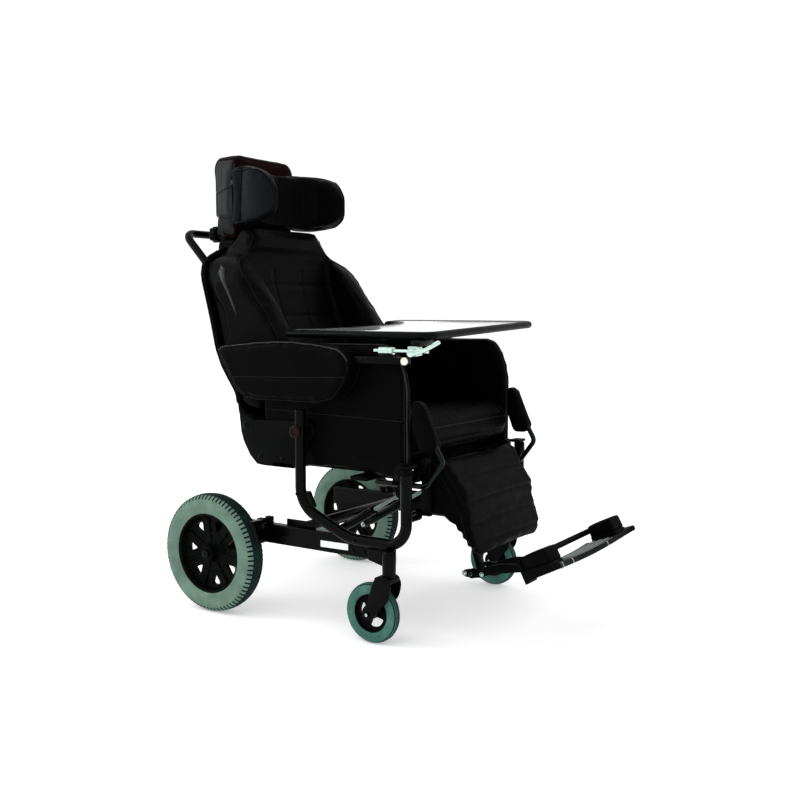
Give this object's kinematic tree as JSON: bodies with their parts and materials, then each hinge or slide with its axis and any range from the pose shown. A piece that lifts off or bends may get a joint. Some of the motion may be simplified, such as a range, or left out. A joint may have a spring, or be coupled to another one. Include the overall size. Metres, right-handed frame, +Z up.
{
  "type": "shell positioning wheelchair",
  "caption": "Attendant-pushed positioning wheelchair with tilting padded shell seat, reclining back, wrap-round headrest, side tray, legrest and foot box.",
  "frame": {"origin": "middle of the footprint on the ground", "axes": "+Z up; the chair faces -Y; +X is the sitter's left"},
  "size_m": [0.726, 1.2037, 1.251],
  "materials": {
    "frame_paint": "satin black",
    "pin_steel": "dark satin",
    "buffer_rubber": "matt",
    "axle_steel": "bright",
    "tyre_rubber": "grey-green rubber",
    "rim_plastic": "matt black",
    "strut_paint": "gloss black",
    "leatherette": "soft black leatherette",
    "clamp_chrome": "bright",
    "tray_white": "smooth white",
    "tray_edge": "black edging",
    "block_plastic": "black"
  },
  "bodies": {
    "chassis": {"beam_R": "frame_paint", "beam_L": "frame_paint", "side_tube_R": "frame_paint", "side_tube_L": "frame_paint", "rear_cross_tube": "frame_paint", "front_cross_tube": "frame_paint", "caster_housing_R": "frame_paint", "caster_housing_L": "frame_paint", "tilt_pin_R": "pin_steel", "tilt_pin_L": "pin_steel", "rest_buffer_R": "buffer_rubber", "rest_buffer_L": "buffer_rubber", "rear_axle_R": "axle_steel", "rear_axle_L": "axle_steel"},
    "seat": {"seat_frame": "frame_paint", "seat_shell": "leatherette", "seat_cushion": "leatherette"},
    "backrest": {"back_shell": "rim_plastic", "back_cushion": "leatherette", "push_bar": "frame_paint", "head_post": "frame_paint"},
    "headrest": {"head_pad": "leatherette", "headrest_cushion": "leatherette"},
    "height_knob": {"height_knob": "rim_plastic"},
    "arm_right": {"armrest_R": "leatherette", "tray_socket": "clamp_chrome"},
    "arm_left": {"armrest_L": "leatherette"},
    "tray_slide": {"tray_rail": "clamp_chrome"},
    "tray": {"tray_clamp": "clamp_chrome", "tray_board": "tray_white", "tray_rim": "tray_edge"},
    "tray_lever": {"tray_lever": "clamp_chrome"},
    "legrest": {"legrest_frame": "frame_paint", "calf_pad": "leatherette"},
    "foot_slide": {"foot_hanger": "frame_paint"},
    "footbox": {"footplate": "rim_plastic", "foot_block_R": "block_plastic", "foot_block_L": "block_plastic"},
    "strut_right": {"strut_cylinder_R": "strut_paint"},
    "strut_rod_right": {"strut_piston_R": "axle_steel"},
    "rear_wheel_right": {"rear_tyre_R": "tyre_rubber", "rear_rim_R": "rim_plastic"},
    "caster_right": {"caster_fork_R": "rim_plastic", "caster_axle_R": "axle_steel"},
    "caster_wheel_right": {"caster_tyre_R": "tyre_rubber", "caster_rim_R": "rim_plastic"},
    "brake_right": {"brake_pedal_R": "rim_plastic"},
    "knee_guide_right": {"knee_pad_R": "leatherette", "knee_bar_R": "frame_paint"},
    "strut_left": {"strut_cylinder_L": "strut_paint"},
    "strut_rod_left": {"strut_piston_L": "axle_steel"},
    "rear_wheel_left": {"rear_tyre_L": "tyre_rubber", "rear_rim_L": "rim_plastic"},
    "caster_left": {"caster_fork_L": "rim_plastic", "caster_axle_L": "axle_steel"},
    "caster_wheel_left": {"caster_tyre_L": "tyre_rubber", "caster_rim_L": "rim_plastic"},
    "brake_left": {"brake_pedal_L": "rim_plastic"},
    "knee_guide_left": {"knee_pad_L": "leatherette", "knee_bar_L": "frame_paint"}
  },
  "joints": [
    {"name": "seat_tilt", "type": "hinge", "parent": "chassis", "child": "seat", "pos_m": [0, 0.0955, 0.505], "axis": [-1, 0, 0], "range_deg": [0, 20]},
    {"name": "back_recline", "type": "hinge", "parent": "seat", "child": "backrest", "pos_m": [0, 0.301, 0.505], "axis": [-1, 0, 0], "range_deg": [0, 35]},
    {"name": "headrest_height", "type": "slide", "parent": "backrest", "child": "headrest", "axis": [0, 0, 1], "range_m": [0, 0.08]},
    {"name": "knob_turn", "type": "hinge", "parent": "headrest", "child": "height_knob", "pos_m": [-0.11, 0.551, 1.029], "axis": [0, 1, 0], "continuous": true},
    {"name": "armrest_right_height", "type": "slide", "parent": "seat", "child": "arm_right", "axis": [0, 0, 1], "range_m": [0, 0.06]},
    {"name": "armrest_left_height", "type": "slide", "parent": "seat", "child": "arm_left", "axis": [0, 0, 1], "range_m": [0, 0.018]},
    {"name": "tray_depth", "type": "slide", "parent": "arm_right", "child": "tray_slide", "axis": [0, -1, 0], "range_m": [-0.018, 0.036]},
    {"name": "tray_swing", "type": "hinge", "parent": "tray_slide", "child": "tray", "pos_m": [-0.3, -0.25, 0.715], "axis": [0, -1, 0], "range_deg": [0, 75]},
    {"name": "tray_lever_turn", "type": "hinge", "parent": "tray", "child": "tray_lever", "pos_m": [-0.317, -0.25, 0.712], "axis": [-1, 0, 0], "range_deg": [0, 75]},
    {"name": "legrest_elevation", "type": "hinge", "parent": "seat", "child": "legrest", "pos_m": [0, -0.224, 0.44], "axis": [-1, 0, 0], "range_deg": [0, 55]},
    {"name": "legrest_length", "type": "slide", "parent": "legrest", "child": "foot_slide", "axis": [0, -0.3006, -0.9537], "range_m": [0, 0.04]},
    {"name": "footplate_angle", "type": "hinge", "parent": "foot_slide", "child": "footbox", "pos_m": [0, -0.267, 0.131], "axis": [-1, 0, 0], "range_deg": [-12, 15]},
    {"name": "strut_pivot_right", "type": "hinge", "parent": "chassis", "child": "strut_right", "pos_m": [-0.08, 0.161, 0.188], "axis": [-1, 0, 0], "range_deg": [0, 6]},
    {"name": "strut_stroke_right", "type": "slide", "parent": "strut_right", "child": "strut_rod_right", "axis": [0, -0.8583, 0.5131], "range_m": [0, 0.085]},
    {"name": "rear_wheel_spin_right", "type": "hinge", "parent": "chassis", "child": "rear_wheel_right", "pos_m": [-0.327, 0.376, 0.16], "axis": [1, 0, 0], "continuous": true},
    {"name": "caster_swivel_right", "type": "hinge", "parent": "chassis", "child": "caster_right", "pos_m": [-0.314, -0.1857, 0.165], "axis": [0, 0, 1], "continuous": true},
    {"name": "caster_spin_right", "type": "hinge", "parent": "caster_right", "child": "caster_wheel_right", "pos_m": [-0.314, -0.1385, 0.075], "axis": [1, 0, 0], "continuous": true},
    {"name": "brake_press_right", "type": "hinge", "parent": "chassis", "child": "brake_right", "pos_m": [-0.271, 0.226, 0.256], "axis": [1, 0, 0], "range_deg": [0, 11]},
    {"name": "knee_guide_depth_right", "type": "slide", "parent": "seat", "child": "knee_guide_right", "axis": [0, -1, 0], "range_m": [0, 0.05]},
    {"name": "strut_pivot_left", "type": "hinge", "parent": "chassis", "child": "strut_left", "pos_m": [0.08, 0.161, 0.188], "axis": [-1, 0, 0], "range_deg": [0, 6]},
    {"name": "strut_stroke_left", "type": "slide", "parent": "strut_left", "child": "strut_rod_left", "axis": [0, -0.8583, 0.5131], "range_m": [0, 0.085]},
    {"name": "rear_wheel_spin_left", "type": "hinge", "parent": "chassis", "child": "rear_wheel_left", "pos_m": [0.327, 0.376, 0.16], "axis": [1, 0, 0], "continuous": true},
    {"name": "caster_swivel_left", "type": "hinge", "parent": "chassis", "child": "caster_left", "pos_m": [0.314, -0.1857, 0.165], "axis": [0, 0, 1], "continuous": true},
    {"name": "caster_spin_left", "type": "hinge", "parent": "caster_left", "child": "caster_wheel_left", "pos_m": [0.314, -0.1385, 0.075], "axis": [1, 0, 0], "continuous": true},
    {"name": "brake_press_left", "type": "hinge", "parent": "chassis", "child": "brake_left", "pos_m": [0.271, 0.226, 0.256], "axis": [1, 0, 0], "range_deg": [0, 11]},
    {"name": "knee_guide_depth_left", "type": "slide", "parent": "seat", "child": "knee_guide_left", "axis": [0, -1, 0], "range_m": [0, 0.05]}
  ],
  "couplings": [
    {"joint": "strut_pivot_right", "follows": "seat_tilt", "ratio": 0.2564},
    {"joint": "strut_stroke_right", "follows": "seat_tilt", "m_per_rad": 0.2292},
    {"joint": "strut_pivot_left", "follows": "seat_tilt", "ratio": 0.2564},
    {"joint": "strut_stroke_left", "follows": "seat_tilt", "m_per_rad": 0.2292}
  ]
}
